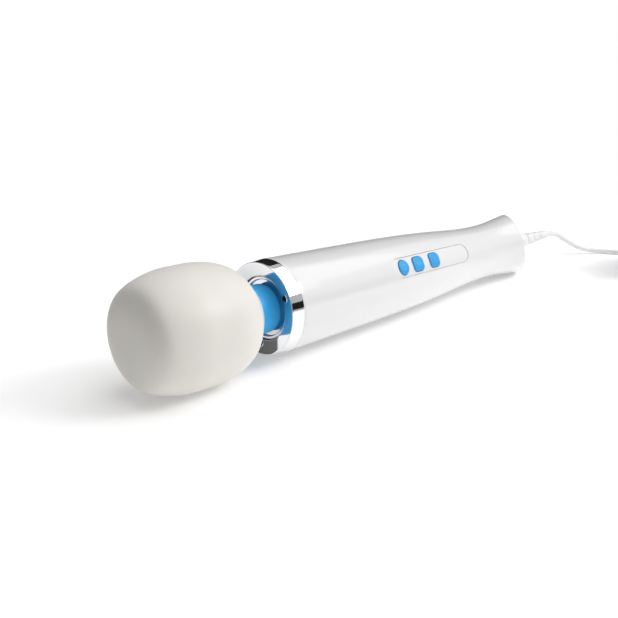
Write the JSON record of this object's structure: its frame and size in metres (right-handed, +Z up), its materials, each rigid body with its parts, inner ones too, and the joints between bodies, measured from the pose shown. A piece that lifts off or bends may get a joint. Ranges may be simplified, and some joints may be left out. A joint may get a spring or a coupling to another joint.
{
  "type": "handheld wand massager",
  "caption": "Rechargeable handheld wand massager: soft barrel head on a flexible blue neck, chrome collar, flared white handle with press buttons, and coiled charging lead with wall adapter.",
  "frame": {"origin": "on the surface the wand lies on, under the middle of the wand's bounding box (without the charging lead and adapter)", "axes": "+Z up from the surface; +X along the wand from the head to the tail; -Y is the side the buttons face; the wand's own axis dips towards the tail because the head is the thicker end"},
  "size_m": [0.4491, 0.1322, 0.0618],
  "materials": {
    "silicone_cream": "soft matte silicone",
    "silicone_blue": "satin silicone",
    "handle_white": "high gloss",
    "collar_chrome": "polished plating",
    "core_plastic": "plain moulded",
    "steel": "ground",
    "screw_black": "black oxide",
    "magnet": "dark ferrite",
    "bronze": "sintered",
    "copper": "enamelled wire",
    "black_rubber": "plain",
    "board_green": "solder mask",
    "dome_metal": "bright",
    "cell_wrap": "shrink wrap",
    "lead_white": "satin sheath",
    "tie_white": "hook-and-loop strap",
    "adapter_white": "fine texture"
  },
  "bodies": {
    "handle": {"collar_ring": "collar_chrome", "lip_ring": "collar_chrome", "bulkhead": "core_plastic", "collar_screws": "screw_black", "motor_can": "steel", "motor_front_bell": "steel", "motor_rear_bell": "steel", "motor_bushes": "bronze", "motor_magnets": "magnet", "motor_mount_rings": "black_rubber", "control_panel": "handle_white", "control_board": "board_green", "dome_switches": "dome_metal", "board_parts": "dome_metal", "button_shell": "handle_white", "rear_shell": "handle_white", "shell_screws": "screw_black", "front_cell": "cell_wrap", "rear_cell": "cell_wrap", "cell_cradle": "core_plastic", "tail_cap": "handle_white", "charge_jack": "black_rubber", "plug_body": "lead_white", "plug_barrel": "dome_metal", "plug_relief": "lead_white", "cord_run": "lead_white", "cord_coil": "lead_white", "coil_tie": "tie_white", "cord_tail": "lead_white", "adapter_relief": "lead_white", "adapter_top": "adapter_white", "adapter_base": "adapter_white", "adapter_blades": "dome_metal", "adapter_board": "board_green"},
    "neck": {"neck_boot": "silicone_blue", "neck_tube": "black_rubber"},
    "head": {"head_cap": "silicone_cream", "head_core_front": "core_plastic", "head_core_rear": "core_plastic", "front_bearing": "steel", "rear_bearing": "steel"},
    "weight": {"eccentric_weight": "steel", "weight_shaft": "steel"},
    "rotor": {"drive_coupling": "black_rubber", "motor_shaft": "steel", "rotor_stack": "steel", "rotor_windings": "copper", "commutator": "copper"},
    "power_button": {"power_button": "silicone_blue"},
    "pattern_button": {"pattern_button": "silicone_blue"},
    "speed_button": {"speed_button": "silicone_blue"}
  },
  "joints": [
    {"name": "neck_nod", "type": "hinge", "parent": "handle", "child": "neck", "pos_m": [-0.09439, 0, 0.02956], "axis": [0.0263, 0.4633, 0.8858], "range_deg": [-8, 8], "stiffness_Nm_per_rad": 6, "deforming": ["neck_boot", "neck_tube"]},
    {"name": "neck_sway", "type": "hinge", "parent": "neck", "child": "head", "pos_m": [-0.09439, 0, 0.02956], "axis": [0.0137, -0.8862, 0.4631], "range_deg": [-8, 8], "stiffness_Nm_per_rad": 6, "deforming": ["drive_coupling"]},
    {"name": "motor_spin", "type": "hinge", "parent": "handle", "child": "rotor", "pos_m": [-0.0735, 0, 0.02894], "axis": [0.9996, 0, -0.0297], "continuous": true},
    {"name": "weight_spin", "type": "hinge", "parent": "head", "child": "weight", "pos_m": [-0.11008, 0, 0.03002], "axis": [0.9996, 0, -0.0297], "continuous": true},
    {"name": "power_button_press", "type": "slide", "parent": "handle", "child": "power_button", "axis": [-0.0137, 0.8862, -0.4631], "range_m": [0, 0.001], "stiffness_N_per_m": 900},
    {"name": "pattern_button_press", "type": "slide", "parent": "handle", "child": "pattern_button", "axis": [-0.0137, 0.8862, -0.4631], "range_m": [0, 0.001], "stiffness_N_per_m": 900},
    {"name": "speed_button_press", "type": "slide", "parent": "handle", "child": "speed_button", "axis": [-0.0137, 0.8862, -0.4631], "range_m": [0, 0.001], "stiffness_N_per_m": 900}
  ],
  "couplings": [
    {"joint": "weight_spin", "follows": "motor_spin", "ratio": 1}
  ]
}
